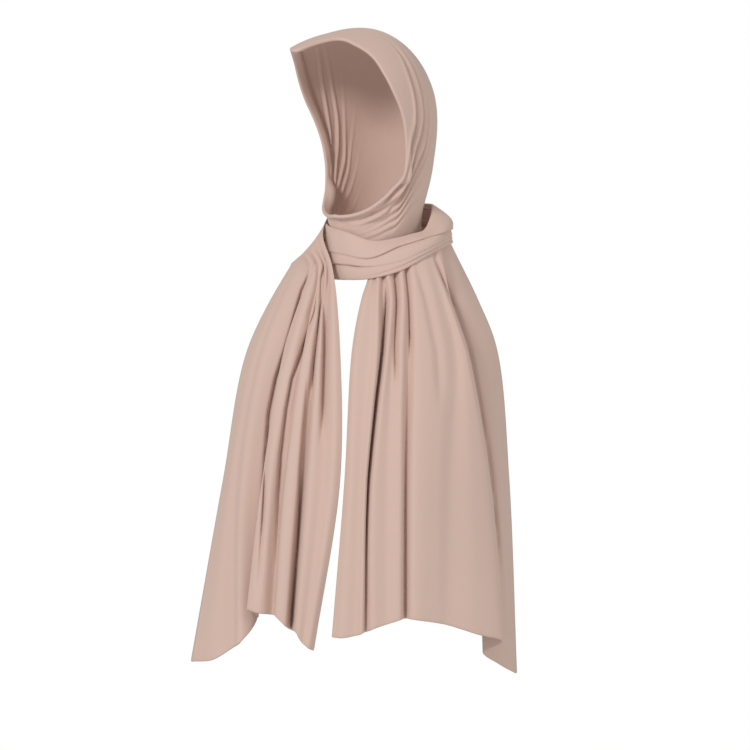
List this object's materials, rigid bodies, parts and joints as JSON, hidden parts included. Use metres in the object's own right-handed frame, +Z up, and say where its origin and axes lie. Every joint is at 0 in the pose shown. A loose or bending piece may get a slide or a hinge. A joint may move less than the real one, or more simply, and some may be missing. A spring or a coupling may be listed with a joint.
{
  "type": "jersey scarf worn as a hood",
  "caption": "Long jersey scarf worn as a hood, wound once round the neck, with both ends hanging down the front in soft folds.",
  "frame": {"origin": "top of the hood, where the wearer's head carries the scarf", "axes": "+Z up, -Y towards the front of the body, +X towards the wearer's left"},
  "size_m": [0.39, 0.2065, 0.7733],
  "materials": {
    "jersey": "soft matte dusty rose jersey with a faint sheen"
  },
  "bodies": {
    "root": {"hood": "jersey", "neck_wrap": "jersey", "right_shoulder_end": "jersey", "left_shoulder_end": "jersey"}
  },
  "joints": []
}
